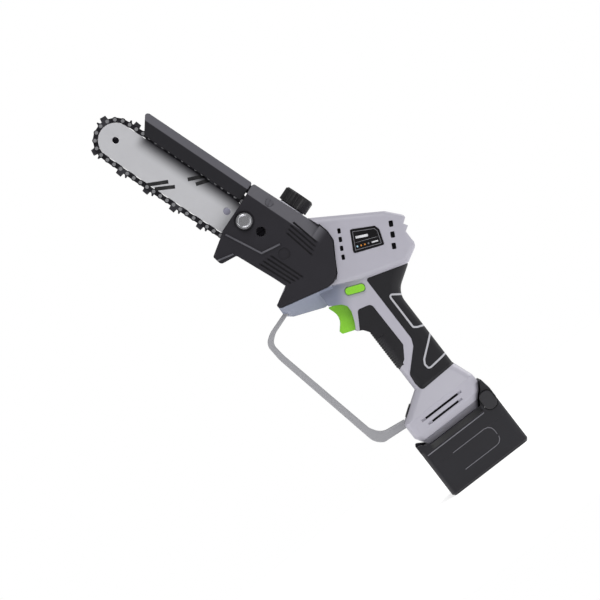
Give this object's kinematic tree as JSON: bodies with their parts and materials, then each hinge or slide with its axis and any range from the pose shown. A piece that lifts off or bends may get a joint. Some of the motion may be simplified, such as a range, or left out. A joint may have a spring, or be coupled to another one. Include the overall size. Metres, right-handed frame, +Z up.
{
  "type": "handheld battery chainsaw",
  "caption": "Small one-hand cordless saw: toothed chain on a flat guide bar, side cover, swinging chain guard, pistol handle with hand hoop, trigger and clip-on battery base.",
  "frame": {"origin": "middle of the battery's flat base, which the saw stands on", "axes": "+Z up the handle, -X forwards to the trigger's side and the bar's lean, +X rearwards, -Y the side with the chain cover and the guide bar"},
  "size_m": [0.1665, 0.062, 0.4094],
  "materials": {
    "housing_grey": "satin light grey",
    "dark_plastic": "satin charcoal",
    "battery_plastic": "fine-grained charcoal",
    "rubber_black": "soft matte",
    "hoop_grey": "satin mid grey",
    "green_plastic": "glossy bright green",
    "bar_steel": "ground, satin",
    "chain_steel": "tumbled, oily",
    "cutter_chrome": "chrome-plated",
    "bright_steel": "zinc-plated",
    "spring_steel": "drawn wire",
    "gear_steel": "machined",
    "case_aluminium": "die-cast",
    "magnet_dark": "sintered, dark",
    "rotor_iron": "laminated",
    "copper_wire": "enamelled copper",
    "fan_plastic": "moulded",
    "tank_plastic": "milky white",
    "seal_rubber": "soft",
    "button_green": "glossy bright green",
    "label_black": "printed plate with a pale border",
    "frame_black": "glossy black",
    "lens_red": "translucent smoky red",
    "inlay_light": "light grey",
    "switch_plastic": "moulded",
    "board_green": "circuit board",
    "contact_metal": "plated",
    "cell_wrap": "wrapped steel can",
    "latch_plastic": "satin charcoal"
  },
  "bodies": {
    "saw": {"bar_nut": "bright_steel", "bar_stud": "bright_steel", "chain_cover": "dark_plastic", "chain_rivets": "bright_steel", "control_board": "board_green", "drive_links": "chain_steel", "front_grip": "rubber_black", "gear_case": "case_aluminium", "gear_case_cover": "case_aluminium", "gear_case_screws": "bright_steel", "grip_inlays": "inlay_light", "guard_pin": "bright_steel", "guard_spring": "spring_steel", "guide_bar": "bar_steel", "hand_guard": "hoop_grey", "housing_screws": "bright_steel", "indicator_frame": "frame_black", "indicator_lens": "lens_red", "label_plate": "label_black", "left_cutters": "cutter_chrome", "left_housing": "housing_grey", "lock_spring": "spring_steel", "motor_bearings": "bright_steel", "motor_can": "bright_steel", "motor_end_cap": "case_aluminium", "motor_magnets": "magnet_dark", "oil_tank": "tank_plastic", "oil_tube": "seal_rubber", "output_bearings": "bright_steel", "rear_grip": "rubber_black", "right_cutters": "cutter_chrome", "right_housing": "housing_grey", "switch_body": "switch_plastic", "terminal_blades": "contact_metal", "terminal_block": "switch_plastic", "tie_straps": "chain_steel", "trigger_spring": "spring_steel"},
    "rotor": {"rotor_core": "rotor_iron", "rotor_windings": "copper_wire", "motor_shaft": "bright_steel", "cooling_fan": "fan_plastic", "pinion": "gear_steel"},
    "output": {"bevel_gear": "gear_steel", "output_shaft": "bright_steel", "sprocket": "gear_steel", "shaft_clip": "spring_steel"},
    "trigger": {"trigger": "green_plastic"},
    "lock_button": {"lock_button": "button_green"},
    "guard": {"chain_guard": "dark_plastic"},
    "cap_ring": {"cap_seal": "seal_rubber"},
    "cap": {"oil_cap": "dark_plastic"},
    "tension_screw": {"tension_screw": "bright_steel"},
    "battery": {"battery_base": "battery_plastic", "battery_top": "battery_plastic", "battery_cells": "cell_wrap", "cell_strips": "contact_metal"},
    "left_latch": {"left_latch_button": "latch_plastic"},
    "right_latch": {"right_latch_button": "latch_plastic"}
  },
  "joints": [
    {"name": "motor_spin", "type": "hinge", "parent": "saw", "child": "rotor", "pos_m": [-0.0267, 0, 0.2348], "axis": [0.8829, 0, -0.4695], "continuous": true},
    {"name": "sprocket_spin", "type": "hinge", "parent": "saw", "child": "output", "pos_m": [-0.0267, 0, 0.2348], "axis": [0, 1, 0], "continuous": true},
    {"name": "trigger_pull", "type": "slide", "parent": "saw", "child": "trigger", "axis": [1, 0, 0], "range_m": [0, 0.006], "stiffness_N_per_m": 400, "springref_m": -0.003, "deforming": ["trigger_spring"]},
    {"name": "lock_press", "type": "slide", "parent": "saw", "child": "lock_button", "axis": [0, 1, 0], "range_m": [0, 0.003], "stiffness_N_per_m": 400, "springref_m": -0.003, "deforming": ["lock_spring"]},
    {"name": "guard_swing", "type": "hinge", "parent": "saw", "child": "guard", "pos_m": [-0.01131, 0, 0.27407], "axis": [0, 1, 0], "range_deg": [0, 45], "stiffness_Nm_per_rad": 0.25, "springref_deg": -11.46, "deforming": ["guard_spring"]},
    {"name": "cap_lift", "type": "slide", "parent": "saw", "child": "cap_ring", "axis": [0.9489, 0, 0.3156], "range_m": [0, 0.006]},
    {"name": "cap_turn", "type": "hinge", "parent": "cap_ring", "child": "cap", "pos_m": [0.00184, 0.00575, 0.26116], "axis": [0.9489, 0, 0.3156], "range_deg": [0, 720]},
    {"name": "tension_turn", "type": "hinge", "parent": "saw", "child": "tension_screw", "pos_m": [-0.03048, 0, 0.25978], "axis": [0, 1, 0], "range_deg": [-180, 180]},
    {"name": "battery_slide", "type": "slide", "parent": "saw", "child": "battery", "axis": [1, 0, 0], "range_m": [0, 0.08]},
    {"name": "left_latch_press", "type": "slide", "parent": "battery", "child": "left_latch", "axis": [0, 1, 0], "range_m": [0, 0.0025], "stiffness_N_per_m": 800, "springref_m": -0.002},
    {"name": "right_latch_press", "type": "slide", "parent": "battery", "child": "right_latch", "axis": [0, -1, 0], "range_m": [0, 0.0025], "stiffness_N_per_m": 800, "springref_m": -0.002}
  ],
  "couplings": [
    {"joint": "sprocket_spin", "follows": "motor_spin", "ratio": -0.33333},
    {"joint": "cap_lift", "follows": "cap_turn", "m_per_rad": 0.00047746}
  ]
}
